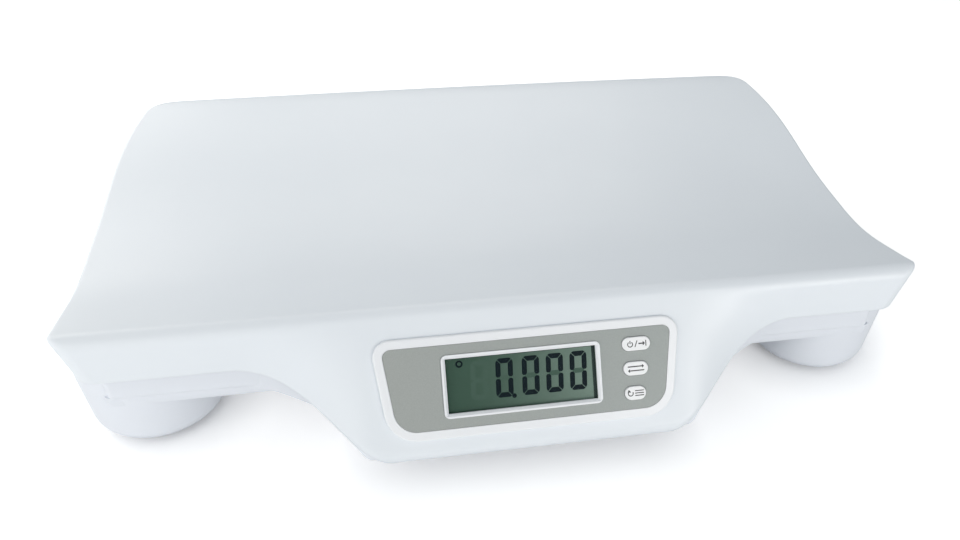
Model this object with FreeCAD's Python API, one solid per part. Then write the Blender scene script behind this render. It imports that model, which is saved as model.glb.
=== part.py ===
import FreeCAD, Part
import math
import os

Vec = FreeCAD.Vector
X_AXIS = Vec(1, 0, 0)
Z_AXIS = Vec(0, 0, 1)

# ---- driving dimensions, mm; y = 0 midway between the two rims, z = 0 under the rubber pads ----
corner_half_width = 282.5      # half width of the tray across its corners
end_bow = 27.0                 # how far each end bulges out at mid depth, at the height of the rims
rim_reach = 163.0              # from mid depth to the outside of the front apron
back_reach = 170.0             # from mid depth to the back wall, at its ends
back_bow = 5.0                 # how far the back wall bulges out at mid width
end_slant = 9.0                # how far the end walls lean in, from the rim to their lower edge
front_rim_height = 109.5
back_rim_height = 109.6         # crest just inside the back wall
crest_inset = 9.0
ledge_slope = 11.0             # fall of the rim behind its crest, degrees
valley_height = 79.7           # lowest line of the cradle
rim_roll = 8.0                 # radius rolled over the front rim
front_slope = 23.0             # cradle slope just inside the front rim, degrees
front_corner_radius = 14.0
back_corner_radius = 30.0
tray_wall = 3.0
skirt_height = 74.0            # lower edge of the aprons
fit_gap = 0.3                  # clearance between parts that slip past each other

face_angle = 56.0              # slope of the display face from the horizontal
chin_height = 22.0             # underside of the display housing
chin_round = 8.0               # roll from the display face to the underside
face_half_width = 104.0        # flat part of the display face
blend_half_width = 187.0       # where the display housing has faded into the apron
console_shift = 6.0            # display housing and plaque, from mid width towards the keys
plaque_drop = 46.5             # from the rim roll down the face to the middle of the plaque

base_inset = 9.0               # lower housing set back from the tray outline
base_bottom = 49.0
base_wall = 2.5
base_top = 76.0
base_edge_round = 5.0
belly_gap = 0.4                # between the display housing's wall and the belly that closes it

cup_radius = 48.5
cup_taper = 2.6
cup_bottom = 4.0
cup_round = 11.0
cup_end_inset = 1.0            # cup side behind the outline of the tray end, level with the cup
cup_front_inset = 9.5          # cup side behind the apron
cup_wall = 2.5

plaque_top_half = 94.6
plaque_bottom_half = 87.8
plaque_height = 54.0
plaque_top_radius = 5.0
plaque_bottom_radius = 15.0
plaque_thickness = 0.8
surround_border = 6.2
surround_rise = 2.4
plaque_seat = 1.4
surround_floor = 1.2           # how far the floor goes below the face of the housing

window_width = 98.5
window_height = 35.4
window_shift = -5.8
window_frame = 2.7
frame_corner_radius = 3.6
window_frame_rise = 3.0
lens_margin = 2.0
lens_thickness = 1.2
glass_thickness = 2.8
board_depth = 9.0
board_thickness = 1.6
board_half_width = 84.0
board_half_height = 23.0

key_gap = 17.55                # from the window to the left end of the top key
key_length = 19.2              # top key; the ends of each lower row step in by their leans
key_left_lean = 0.0
key_right_lean = 2.4
key_height = 9.2
key_pitch = 16.3
key_rise = 3.5
key_flange = 1.4
key_travel = 0.8

cell_radius = 7.1
cell_length = 50.0
cell_gap = 0.8                 # between neighbouring cells, and over the door
spring_room = 8.0              # from each end of a cell to the bay wall
bay_end_room = 3.0             # from the outer cells to the front and back walls of the bay
bay_head_room = 2.5            # over the cells
bay_centre_y = 28.0
bay_wall = 2.0
door_thickness = 2.5

boss_radius = 5.0
screw_radius = 1.5
screw_front_inset = 34.2       # case screws, set in from the front and back aprons
screw_cup_gap = 12.7           # outer case screws, clear of the cups
screw_bay_gap = 32.2           # inner rear case screws, clear of the cell bay
screw_front_half = 84.0        # inner front case screws, either side of the middle
rib_gap = 21.4                 # from the outer case screws to the tray ribs beside them
inner_rib_gap = 26.6           # from the cell bay to the nearest tray ribs
rib_depth = 6.7                # how far the ribs hang below the lowest line of the cradle
pad_radius = 26.0
pad_thickness = 3.0


# ---- small helpers ----
def box(x0, x1, y0, y1, z0, z1):
    return Part.makeBox(x1 - x0, y1 - y0, z1 - z0, Vec(x0, y0, z0))


def post(x, y, z0, z1, radius):
    return Part.makeCylinder(radius, z1 - z0, Vec(x, y, z0), Z_AXIS)


def polygon_prism(points, direction):
    return Part.Face(Part.makePolygon(points + [points[0]])).extrude(direction)


def fuse_all(shapes):
    result = shapes[0]
    if len(shapes) > 1:
        result = shapes[0].multiFuse(shapes[1:])
    return result.removeSplitter()


def turned(points, x, y):
    """Solid of revolution about the vertical line through (x, y) from (radius, z) points."""
    wire = Part.makePolygon([Vec(r, 0, z) for r, z in points] + [Vec(points[0][0], 0, points[0][1])])
    solid = Part.Face(wire).revolve(Vec(0, 0, 0), Z_AXIS, 360)
    solid.translate(Vec(x, y, 0))
    return solid


def pan_screw(x, y, head_z, tip_z, head_radius, head_height, slot):
    """Pan-head screw whose head sits at head_z and whose shank runs to tip_z."""
    sign = 1.0 if tip_z > head_z else -1.0
    axis = Vec(0, 0, sign)
    head = Part.makeCylinder(head_radius, head_height, Vec(x, y, head_z - sign * head_height), axis)
    shank = Part.makeCylinder(screw_radius - 0.15, abs(tip_z - head_z), Vec(x, y, head_z), axis)
    recess_z = min(head_z - sign * head_height, head_z - sign * (head_height - slot))
    across = box(x - 1.8, x + 1.8, y - 0.35, y + 0.35, recess_z, recess_z + slot)
    down = box(x - 0.35, x + 0.35, y - 1.8, y + 1.8, recess_z, recess_z + slot)
    return head.fuse(shank).cut(across).cut(down)


# ---- places worked out from the driving dimensions ----
roll_y = rim_reach - rim_roll
front_roll_z = front_rim_height - rim_roll
back_crest_y = back_reach - crest_inset
section_back = back_reach + back_bow + 5.0
tilt = math.radians(face_angle)
face_normal = Vec(0, -math.sin(tilt), math.cos(tilt))
face_up = Vec(0, math.cos(tilt), math.sin(tilt))
face_top = Vec(0, -roll_y, front_roll_z) + face_normal * (rim_roll - 0.1)
plaque_centre = face_top - face_up * plaque_drop + X_AXIS * console_shift
chin_corner = face_top.y - (face_top.z - chin_height) / math.tan(tilt)
chin_centre_y = chin_corner + chin_round * math.tan(0.5 * (math.pi - tilt))
chin_centre_z = chin_height + chin_round
chin_front = chin_centre_y - chin_round
key_start = window_shift + 0.5 * window_width + key_gap
cell_pitch = 2.0 * cell_radius + cell_gap
cell_centre_z = base_bottom + door_thickness + cell_gap + cell_radius
bay_half_width = 0.5 * cell_length + spring_room
bay_half_depth = 2.0 * cell_pitch + bay_end_room
bay_ceiling = cell_centre_z + cell_radius + bay_head_room
y_shift = -(chin_front + back_reach + back_bow) / 2.0


def end_x(y):
    """Half width of the tray outline at depth y, along the arc of its end."""
    arc_radius = (rim_reach ** 2 + end_bow ** 2) / (2.0 * end_bow)
    return corner_half_width + end_bow - arc_radius + math.sqrt(arc_radius ** 2 - y ** 2)


cup_y = rim_reach - cup_front_inset - cup_radius
cup_x = end_x(cup_y) - cup_end_inset - cup_radius
cup_sites = [("front_left", -1, -1), ("front_right", 1, -1), ("rear_left", -1, 1), ("rear_right", 1, 1)]
screw_row_y = rim_reach - screw_front_inset
outer_screw_x = cup_x - cup_radius - screw_cup_gap
case_screw_sites = []
for side in (-1, 1):
    case_screw_sites.append((side * outer_screw_x, -screw_row_y))
    case_screw_sites.append((side * outer_screw_x, screw_row_y))
    case_screw_sites.append((side * (bay_half_width + bay_wall + screw_bay_gap), screw_row_y))
    case_screw_sites.append((side * screw_front_half, -screw_row_y))


def on_face(shape):
    """Carry a shape drawn with x across, y up the slope and z outwards onto the display face."""
    placed = shape.copy()
    placed.rotate(Vec(0, 0, 0), X_AXIS, face_angle)
    placed.translate(plaque_centre)
    return placed


# ---- tray shell ----
def end_lean(z):
    """How far the end walls have leant in at height z."""
    return end_slant * (front_rim_height - z) / (front_rim_height - skirt_height)


def outline_wire(inset, lean, z):
    """Plan outline of the tray at height z, inset all round and its ends moved in by lean."""
    front = rim_reach - inset
    back = back_reach - inset
    half_w = corner_half_width - inset - lean
    half_back = end_x(back) - inset - lean
    a = Vec(-half_w, -front, z)
    b = Vec(half_w, -front, z)
    c = Vec(half_back, back, z)
    d = Vec(-half_back, back, z)
    right = Part.Arc(b, Vec(half_w + end_bow, 0, z), c).toShape()
    rear = Part.Arc(c, Vec(0, back + back_bow, z), d).toShape()
    left = Part.Arc(d, Vec(-half_w - end_bow, 0, z), a).toShape()
    return Part.Wire([Part.makeLine(a, b), right, rear, left])


def round_corners(solid, inset, height):
    for radius, sign in ((front_corner_radius, -1), (back_corner_radius, 1)):
        edges = []
        for edge in solid.Edges:
            upright = abs(edge.Vertexes[0].Z - edge.Vertexes[-1].Z) > 0.5 * height
            if upright and sign * edge.Vertexes[0].Y > 0.5 * rim_reach:
                edges.append(edge)
        solid = solid.makeFillet(max(radius - inset, 2.0), edges)
    return solid


def leaning_solid(inset, z0, lean0, z1, lean1):
    """Tray outline raised from z0 to z1, with the lean of its ends at both levels."""
    solid = Part.makeLoft([outline_wire(inset, lean0, z0), outline_wire(inset, lean1, z1)], True, True)
    return round_corners(solid, inset, z1 - z0)


def tray_prism(inset, z0, z1):
    return leaning_solid(inset, z0, end_lean(z0), z1, end_lean(z1))


def cradle_points():
    """Points of the cradle surface from the front roll, over the back crest, to beyond the back wall."""
    front_rise = front_rim_height - valley_height
    back_rise = back_rim_height - valley_height
    fs = math.radians(front_slope)
    points = [Vec(0, -roll_y + rim_roll * math.sin(fs), front_roll_z + rim_roll * math.cos(fs))]
    for fy, fz in [(-0.755, 0.532), (-0.516, 0.163), (-0.32, 0.023), (-0.16, 0.0)]:
        points.append(Vec(0, fy * roll_y, valley_height + fz * front_rise))
    for fy, fz in [(0.025, 0.036), (0.25, 0.206), (0.50, 0.525), (0.741, 0.812), (0.919, 0.965), (1.0, 1.0)]:
        points.append(Vec(0, fy * back_crest_y, valley_height + fz * back_rise))
    ledge = section_back - back_crest_y
    fall = ledge * math.tan(math.radians(ledge_slope))
    points.append(Vec(0, back_crest_y + 0.4 * ledge, back_rim_height - 0.18 * fall))
    points.append(Vec(0, section_back, back_rim_height - 0.7 * fall))
    return points


def cradle_curve(drop):
    points = [p - Vec(0, 0, drop) for p in cradle_points()]
    fs = math.radians(front_slope)
    ls = math.radians(ledge_slope)
    curve = Part.BSplineCurve()
    curve.interpolate(
        Points=points,
        InitialTangent=Vec(0, math.cos(fs), -math.sin(fs)),
        FinalTangent=Vec(0, math.cos(ls), -math.sin(ls)),
    )
    return curve


def roll_arc():
    """Rolled front rim in the y-z plane, with its two ends."""
    points = []
    start = 180.0
    end = 90.0 - front_slope
    for angle in (start, 0.5 * (start + end), end):
        a = math.radians(angle)
        points.append(Vec(0, -roll_y + rim_roll * math.cos(a), front_roll_z + rim_roll * math.sin(a)))
    return Part.Arc(points[0], points[1], points[2]).toShape(), points[0]


def section_solid(wire):
    """Closed y-z section carried right across the tray."""
    reach = corner_half_width + end_bow + 20.0
    face = Part.Face(wire)
    face.translate(Vec(-reach, 0, 0))
    return face.extrude(Vec(2 * reach, 0, 0))


def trough_solid():
    """Filled body under the cradle surface, out past the back wall."""
    front_arc, apron_top = roll_arc()
    foot_front = Vec(0, -rim_reach, skirt_height)
    foot_back = Vec(0, section_back, skirt_height)
    wire = Part.Wire([
        Part.makeLine(foot_front, apron_top),
        front_arc,
        cradle_curve(0.0).toShape(),
        Part.makeLine(cradle_points()[-1], foot_back),
        Part.makeLine(foot_back, foot_front),
    ])
    return section_solid(wire)


def trough_cavity():
    """Space under the cradle, one wall thickness inside the surface."""
    curve = cradle_curve(tray_wall + 0.2)
    start = curve.value(curve.FirstParameter)
    finish = curve.value(curve.LastParameter)
    inner = rim_reach - tray_wall
    low = skirt_height - 40.0
    front_low = Vec(0, -inner, low)
    front_high = Vec(0, -inner, front_roll_z - 0.5)
    back_low = Vec(0, section_back, low)
    wire = Part.Wire([
        Part.makeLine(front_low, front_high),
        Part.makeLine(front_high, start),
        curve.toShape(),
        Part.makeLine(finish, back_low),
        Part.makeLine(back_low, front_low),
    ])
    return section_solid(wire)


def blend(x):
    """1 on the flat display face, fading smoothly to 0 where the housing joins the apron."""
    t = (abs(x) - face_half_width) / (blend_half_width - face_half_width)
    t = min(max(t, 0.0), 1.0)
    return 1.0 - t * t * (3.0 - 2.0 * t)


def console_front(inset, top, bottom):
    """Front of the display housing in the y-z plane: flat face, rolled chin, then straight down."""
    points = [(face_top.y - (face_top.z - top) / math.tan(tilt) + inset / math.sin(tilt), top)]
    radius = max(chin_round - inset, 0.5)
    quarter = 0.5 * math.pi
    turns = [tilt + (quarter - tilt) * i / 2.0 for i in range(3)]
    turns += [quarter + quarter * i / 4.0 for i in range(1, 5)]
    for angle in turns:
        y = chin_centre_y - radius * math.sin(angle)
        points.append((y, chin_centre_z + radius * math.cos(angle)))
    if inset > 0.0:
        points[-1] = (chin_centre_y + inset - tray_wall, points[-1][1])
        points.append((points[-1][0], bottom))
    return points


def console_section(x, inset, top, bottom):
    """Closed outline of the display housing at station x, set in by inset."""
    apron_y = face_top.y + inset + 0.2
    share = blend(x)
    at = x + console_shift
    points = [Vec(at, -roll_y + 5.0, top)]
    for y, z in console_front(inset, top, bottom):
        points.append(Vec(at, share * y + (1.0 - share) * apron_y, z))
    points.append(Vec(at, -roll_y + 5.0, points[-1].z))
    return Part.makePolygon(points + [points[0]])


def console_solid(inset, top, bottom):
    """Display housing: a flat middle and two smooth flanks."""
    middle = Part.Face(console_section(-face_half_width, inset, top, bottom))
    parts = [middle.extrude(Vec(2 * face_half_width, 0, 0))]
    count = 7
    for side in (-1, 1):
        stations = []
        for i in range(count):
            x = face_half_width + (blend_half_width - face_half_width) * i / (count - 1.0)
            stations.append(console_section(side * x, inset, top, bottom))
        parts.append(Part.makeLoft(stations, True, False))
    return fuse_all(parts)


def lower_edge_points():
    """Lower edge of the housing, from the chin out to the apron."""
    drop = skirt_height - chin_height
    span = blend_half_width - face_half_width
    steps = [(1.0, 1.0), (0.70, 0.87), (0.46, 0.65), (0.19, 0.30), (0.0, 0.075), (-0.14, 0.0)]
    return [(face_half_width + a * span, chin_height + b * drop) for a, b in steps]


def lower_edge_cutter():
    """Everything below the arched lower edge, on both sides."""
    cutters = []
    for side in (-1, 1):
        middle = console_shift
        points = [Vec(middle + side * x, chin_front - 20.0, z) for x, z in lower_edge_points()]
        curve = Part.BSplineCurve()
        curve.interpolate(points)
        outer = Vec(middle + side * (blend_half_width + 30.0), chin_front - 20.0, points[0].z)
        outer_low = Vec(outer.x, outer.y, chin_height - 20.0)
        inner_low = Vec(points[-1].x, outer.y, chin_height - 20.0)
        wire = Part.Wire([
            Part.makeLine(outer, points[0]),
            curve.toShape(),
            Part.makeLine(points[-1], inner_low),
            Part.makeLine(inner_low, outer_low),
            Part.makeLine(outer_low, outer),
        ])
        cutters.append(Part.Face(wire).extrude(Vec(0, -chin_front, 0)))
    return cutters


def tray_body():
    """Filled tray with its display housing, before hollowing."""
    tray = trough_solid().common(tray_prism(0.0, skirt_height, front_rim_height + 5.0))
    housing = console_solid(0.0, face_top.z, chin_height)
    for cutter in lower_edge_cutter():
        housing = housing.cut(cutter)
    return tray.fuse(housing).removeSplitter()


def tray_cavity():
    main = trough_cavity().common(tray_prism(tray_wall, skirt_height - 2.0, front_rim_height + 5.0))
    return main.fuse(console_solid(tray_wall, front_roll_z - 2.0, chin_height - 10.0))


def tray_ribs():
    """Cross ribs and the tops of the screw bosses, up to the rims."""
    shapes = []
    half = rim_reach - base_inset - base_wall - 6.0
    inner = bay_half_width + bay_wall + inner_rib_gap
    for place in (inner, outer_screw_x - 2.0 * rib_gap, outer_screw_x + 1.6 * rib_gap):
        for side in (-1, 1):
            x = side * place
            shapes.append(box(x - 1.0, x + 1.0, -half, half, valley_height - rib_depth, front_rim_height))
    for x, y in case_screw_sites:
        shapes.append(post(x, y, valley_height - rib_depth, front_rim_height, boss_radius))
    return shapes


def tray_shell():
    body = tray_body()
    cavity = tray_cavity()
    shell = body.cut(cavity)
    inside = [shape.common(body.fuse(cavity)) for shape in tray_ribs()]
    lower = [post(x, y, boss_foot, valley_height - tray_wall, boss_radius) for x, y in case_screw_sites]
    shell = shell.multiFuse(inside + lower)
    for x, y in case_screw_sites:
        shell = shell.cut(post(x, y, boss_foot - 1.0, boss_foot + 12.0, screw_radius))
    opening = on_face(plaque_prism(fit_gap - 2.0, -12.0, 12.0))
    return shell.cut(opening)


# ---- display plaque, windows and keys, drawn flat and carried onto the face ----
def plaque_prism(grow, n0, n1):
    """Plaque outline, wider at the top, grown all round, between two depths."""
    lean = (plaque_top_half - plaque_bottom_half) / plaque_height
    half_h = 0.5 * plaque_height + grow
    middle = 0.5 * (plaque_top_half + plaque_bottom_half) + grow * math.hypot(1.0, lean)
    top = middle + half_h * lean
    bottom = middle - half_h * lean
    corners = [(-bottom, -half_h), (bottom, -half_h), (top, half_h), (-top, half_h)]
    points = [Vec(a, b, n0) for a, b in corners]
    solid = polygon_prism(points, Vec(0, 0, n1 - n0))
    for radius, sign in ((plaque_bottom_radius, -1), (plaque_top_radius, 1)):
        edges = []
        for edge in solid.Edges:
            centre = edge.CenterOfMass
            upright = abs(edge.Vertexes[0].Z - edge.Vertexes[-1].Z) > 0.9 * (n1 - n0)
            if upright and sign * centre.y > 0.8 * half_h and abs(centre.x) > 0.9 * bottom:
                edges.append(edge)
        solid = solid.makeFillet(max(radius + grow, 1.0), edges)
    return solid


def window_prism(grow, n0, n1):
    half_w = 0.5 * window_width + grow
    half_h = 0.5 * window_height + grow
    return box(window_shift - half_w, window_shift + half_w, -half_h, half_h, n0, n1)


def frame_prism(grow, n0, n1):
    """Outline of the raised window frame, grown all round, with round corners."""
    solid = window_prism(window_frame + grow, n0, n1)
    upright = [e for e in solid.Edges if abs(e.Vertexes[0].Z - e.Vertexes[-1].Z) > 0.5 * (n1 - n0)]
    return solid.makeFillet(frame_corner_radius + grow, upright)


def pill(row, grow, n0, n1):
    """Long round-ended outline of the key in one row, grown all round."""
    radius = 0.5 * key_height + grow
    v = (1 - row) * key_pitch
    start = key_start - row * key_left_lean + 0.5 * key_height
    finish = key_start + key_length - row * key_right_lean - 0.5 * key_height
    left = post(start, v, n0, n1, radius)
    right = post(finish, v, n0, n1, radius)
    middle = box(start, finish, v - radius, v + radius, n0, n1)
    return fuse_all([left, middle, right])


def key_middle(row):
    """Middle of the key in one row, in face coordinates."""
    left = key_start - row * key_left_lean
    right = key_start + key_length - row * key_right_lean
    return 0.5 * (left + right), (1 - row) * key_pitch


key_rows = [("power", 0), ("units", 1), ("memory", 2)]
boss_foot = base_bottom + 8.0
board_front = -board_depth
board_back = -board_depth - board_thickness
post_left = window_shift - 0.5 * window_width - 15.0
post_right = window_shift + 0.5 * window_width + lens_margin + 7.0
post_sites = [(post_left, 16.0), (post_right, 16.0), (post_left, -16.0), (post_right, -16.0)]


def display_surround():
    flange = plaque_prism(surround_border, 0.0, surround_rise)
    rim_edges = [e for e in flange.Edges if e.BoundBox.ZMin > surround_rise - 0.01]
    flange = flange.makeFillet(1.4, rim_edges)
    plug = plaque_prism(-2.0, -surround_floor - 3.5, 0.0)
    hollow = plaque_prism(-4.2, -surround_floor - 4.0, -surround_floor)
    body = flange.fuse(plug).cut(hollow)
    body = body.cut(plaque_prism(fit_gap - 0.05, plaque_seat, surround_rise + 1.0))
    body = body.fuse(frame_prism(0.0, plaque_seat - 0.5, window_frame_rise))
    body = body.cut(window_prism(0.0, -surround_floor - 1.0, window_frame_rise + 1.0))
    body = body.cut(window_prism(lens_margin + fit_gap, -surround_floor - 1.0, 0.0))
    bevel = 1.5
    mouth_wires = []
    for grow, depth in ((0.0, window_frame_rise - bevel), (bevel + 0.3, window_frame_rise + 0.3)):
        half_w = 0.5 * window_width + grow
        half_h = 0.5 * window_height + grow
        corners = [(-half_w, -half_h), (half_w, -half_h), (half_w, half_h), (-half_w, half_h)]
        points = [Vec(window_shift + a, b, depth) for a, b in corners]
        mouth_wires.append(Part.makePolygon(points + [points[0]]))
    body = body.cut(Part.makeLoft(mouth_wires, True, True))
    for name, row in key_rows:
        body = body.cut(pill(row, fit_gap, -surround_floor - 1.0, surround_rise))
    for x, v in post_sites:
        body = body.fuse(post(x, v, board_front, -surround_floor, 2.6))
        body = body.cut(post(x, v, board_front - 1.0, -surround_floor - 1.0, 1.1))
    return on_face(body)


def faceplate():
    plate = plaque_prism(0.0, plaque_seat, plaque_seat + plaque_thickness)
    plate = plate.cut(frame_prism(0.2, 0.0, 5.0))
    for name, row in key_rows:
        plate = plate.cut(pill(row, fit_gap, 0.0, 5.0))
    return on_face(plate)


def lcd_lens():
    return on_face(window_prism(lens_margin, -lens_thickness, 0.0))


def lcd_glass():
    return on_face(window_prism(lens_margin, -lens_thickness - glass_thickness, -lens_thickness))


def lcd_frame():
    """Open frame that presses the display glass forward from the board."""
    outer = window_prism(lens_margin + 2.0, board_front, -surround_floor)
    pocket = window_prism(lens_margin + 0.3, -lens_thickness - glass_thickness, 0.0)
    inner = window_prism(lens_margin - 6.0, board_front - 1.0, 0.0)
    strip_room = window_prism(lens_margin - 0.5, board_front - 1.0, -lens_thickness - glass_thickness + 0.1)
    slot_low = strip_room.common(box(-60, 60, -30, -13.5, -30, 5))
    return on_face(outer.cut(pocket).cut(inner).cut(slot_low))


def contact_strips():
    """Elastomer strip that joins the glass to the pads of the board."""
    half = 0.5 * window_width - 6.0
    low = -0.5 * window_height + 0.8
    top = -lens_thickness - glass_thickness
    return on_face(box(window_shift - half, window_shift + half, low, low + 2.4, board_front, top))


def reflector():
    half_w = 0.5 * window_width - 5.0
    half_h = 0.5 * window_height - 5.0
    top = -lens_thickness - glass_thickness
    return on_face(box(window_shift - half_w, window_shift + half_w, -half_h, half_h, top - 0.6, top))


def key_cap(row):
    cap = pill(row, 0.0, -surround_floor, key_rise)
    crown = [e for e in cap.Edges if e.BoundBox.ZMin > key_rise - 0.01]
    cap = cap.makeFillet(0.7, crown)
    flange = pill(row, 1.6, -surround_floor - key_flange, -surround_floor)
    u, v = key_middle(row)
    stem = post(u, v, stem_end, -surround_floor, 1.8)
    return on_face(fuse_all([cap, flange, stem]))


stem_end = -surround_floor - key_flange - 1.4


def tact_switches():
    switches = []
    top = stem_end - key_travel - 0.15
    for name, row in key_rows:
        u, v = key_middle(row)
        body = box(u - 3.0, u + 3.0, v - 3.0, v + 3.0, board_front, board_front + 3.1)
        button = post(u, v, board_front + 3.1, top, 1.6)
        switches.append(body.fuse(button))
    return on_face(Part.makeCompound(switches))


def main_board():
    lower = board_half_width - 6.0
    points = [Vec(-lower, -board_half_height, board_back), Vec(lower, -board_half_height, board_back)]
    points.append(Vec(board_half_width, board_half_height, board_back))
    points.append(Vec(-board_half_width, board_half_height, board_back))
    board = polygon_prism(points, Vec(0, 0, board_thickness))
    for x, v in post_sites:
        board = board.cut(post(x, v, board_back - 1.0, board_front + 1.0, 1.4))
    return on_face(board)


def board_screws():
    screws = []
    for x, v in post_sites:
        head = post(x, v, board_back - 1.6, board_back, 2.4)
        shank = post(x, v, board_back, board_front + 5.0, 1.0)
        cross = box(x - 1.5, x + 1.5, v - 0.3, v + 0.3, board_back - 1.6, board_back - 0.8)
        screws.append(head.fuse(shank).cut(cross))
    return on_face(Part.makeCompound(screws))


def board_chips():
    """Converter, controller and buzzer on the back of the board."""
    chips = [box(-34.0, -22.0, -4.0, 8.0, board_back - 1.4, board_back)]
    chips.append(box(-12.0, -2.0, 0.0, 6.0, board_back - 1.6, board_back))
    chips.append(post(8.0, 4.0, board_back - 5.0, board_back, 6.0))
    return on_face(Part.makeCompound(chips))


socket_places = [(-62.0, 2.0), (-48.0, 2.0), (62.0, 2.0), (48.0, 2.0), (26.0, 2.0)]
socket_depth = 6.0


def board_sockets():
    sockets = []
    for u, v in socket_places:
        block = box(u - 4.0, u + 4.0, v - 3.0, v + 3.0, board_back - socket_depth, board_back)
        sockets.append(block)
    return on_face(Part.makeCompound(sockets))


# ---- lower housing ----
def belly_prism(rise):
    """Band behind the housing's lower edge that closes the display housing from below."""
    span = blend_half_width - face_half_width
    drop = base_bottom - chin_height
    low = [(blend_half_width + 2.0, base_bottom), (face_half_width + 0.33 * span, base_bottom)]
    low.append((face_half_width + 0.2 * span, base_bottom - 0.28 * drop))
    low.append((face_half_width - 3.0, chin_height + 0.5))
    high = [(face_half_width, chin_height + 10.0), (face_half_width + 0.22 * span, base_bottom + 3.0)]
    high.append((face_half_width + 0.5 * span, base_bottom + 13.0))
    high.append((face_half_width + 0.75 * span, base_top - 2.0))
    high += [(blend_half_width + 2.0, base_top)]
    right = [(x, z + rise) for x, z in low]
    lid = [(x, z + (0.5 if rise > 0.0 else 0.0)) for x, z in high]
    loop = right + [(-x, z) for x, z in reversed(right)]
    loop += [(-x, z) for x, z in reversed(lid)] + lid
    points = [Vec(x + console_shift, chin_front - 10.0, z) for x, z in loop]
    return polygon_prism(points, Vec(0, -chin_front, 0))


def belly(inset, top):
    """Close behind the wall around the chin; flush with the band beside it under the flanks."""
    flank = console_solid(base_inset + inset, top, chin_height - 5.0).common(belly_prism(inset))
    middle = console_solid(tray_wall + belly_gap + inset, top, chin_height - 5.0).common(belly_prism(inset))
    half = face_half_width + 0.2 * (blend_half_width - face_half_width) - inset
    limit = box(console_shift - half, console_shift + half, chin_front, 0.0, 0.0, top + 1.0)
    return [flank, middle.common(limit)]


def base_plan(inset, z0, z1):
    wire = outline_wire(base_inset + inset, end_slant, z0)
    solid = Part.Face(wire).extrude(Vec(0, 0, z1 - z0))
    return round_corners(solid, base_inset + inset, z1 - z0)


def collars(inset, z0, z1):
    """Tops of the four cups; their outer sides lean in to meet the lower edge of the tray ends."""
    wide = cup_end_inset - 1.5
    steep = (end_slant + 0.2 - wide) / (skirt_height - base_bottom)
    low = wide + steep * (z0 - base_bottom)
    high = wide + steep * (z1 - base_bottom)
    limit = leaning_solid(inset, z0, low, z1, high)
    shapes = []
    for name, sx, sy in cup_sites:
        x, y = cup_place(sx, sy)
        shapes.append(post(x, y, z0, z1, cup_radius - inset).common(limit))
    return shapes


def cup_place(side_x, side_y):
    return side_x * cup_x, side_y * cup_y


def base_shell():
    outer = base_plan(0.0, base_bottom, base_top)
    outer = outer.makeFillet(base_edge_round, [e for e in outer.Edges if e.BoundBox.ZMax < base_bottom + 0.1])
    inner = base_plan(base_wall, base_bottom + base_wall, base_top + 1.0)
    solids = [outer] + collars(0.0, base_bottom, skirt_height - 0.4)
    hollows = [inner] + collars(base_wall, base_bottom + base_wall, skirt_height - 0.4 - base_wall)
    solids += belly(0.0, base_top + 1.0)
    hollows += belly(base_wall, base_top + 5.0)
    shell = fuse_all(solids)
    for hollow in hollows:
        shell = shell.cut(hollow)
    shell = shell.cut(lead_gate())
    shell = shell.fuse(bay_walls()).cut(bay_hollow())
    for x, y in case_screw_sites:
        shell = shell.fuse(post(x, y, base_bottom, boss_foot, 6.0))
        shell = shell.cut(post(x, y, base_bottom - 1.0, boss_foot - 3.0, 3.8))
        shell = shell.cut(post(x, y, base_bottom - 1.0, boss_foot + 1.0, screw_radius + 0.3))
    floor_top = base_bottom + base_wall
    for name, sx, sy in cup_sites:
        x, y = cup_place(sx, sy)
        shell = shell.cut(post(x, y, base_bottom - 1.0, floor_top + 1.0, 5.0))
        for px, py in pillar_sites(x, y):
            shell = shell.cut(post(px, py, base_bottom - 1.0, floor_top + 1.0, screw_radius + 0.3))
    return shell.removeSplitter()


def lead_gate():
    """Opening in the front wall, where the leads pass into the display housing."""
    half = face_half_width - 8.0
    left, right = console_shift - half, console_shift + half
    return box(left, right, -rim_reach, -rim_reach + 14.0, base_bottom + base_wall, base_top + 1.0)


door_axis_y = bay_centre_y + bay_half_depth - 3.0
door_axis_z = base_bottom + 2.6
door_barrel = 1.25
door_pin = 0.9


def bay_box(grow, z0, z1):
    half_w = bay_half_width + grow
    half_d = bay_half_depth + grow
    return box(-half_w, half_w, bay_centre_y - half_d, bay_centre_y + half_d, z0, z1)


def bay_walls():
    return bay_box(bay_wall, base_bottom, bay_ceiling + bay_wall)


def door_bar(radius, half_length):
    """Round bar along the hinge axis of the cell door."""
    start = Vec(-half_length, door_axis_y, door_axis_z)
    return Part.makeCylinder(radius, 2.0 * half_length, start, X_AXIS)


def bay_hollow():
    """Room for the cells, open downwards, with sockets for the door pins."""
    room = bay_box(0.0, base_bottom - 1.0, bay_ceiling)
    half = bay_half_width + 1.0
    sill_front = door_axis_y + door_barrel + 0.5
    sill_back = bay_centre_y + bay_half_depth + 0.5
    room = room.cut(box(-half, half, sill_front, sill_back, base_bottom, base_bottom + 5.0))
    return room.fuse(door_bar(door_pin + fit_gap, bay_half_width + 1.2))


def battery_door():
    gap = 0.4
    front = bay_centre_y - bay_half_depth + gap
    half = bay_half_width - gap
    panel = box(-half, half, front, door_axis_y, base_bottom, base_bottom + door_thickness)
    barrel = door_bar(door_barrel, half)
    pins = door_bar(door_pin, bay_half_width + 0.9)
    latch = box(-7.0, 7.0, front + 0.4, front + 2.2, base_bottom + 1.0, base_bottom + 8.0)
    door = fuse_all([panel, barrel, pins, latch])
    for i in range(4):
        y = front + 6.0 + 2.4 * i
        door = door.cut(box(-10.0, 10.0, y, y + 1.0, base_bottom - 1.0, base_bottom + 0.6))
    return door


def cell_rows():
    return [bay_centre_y + (i - 1.5) * cell_pitch for i in range(4)]


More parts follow.
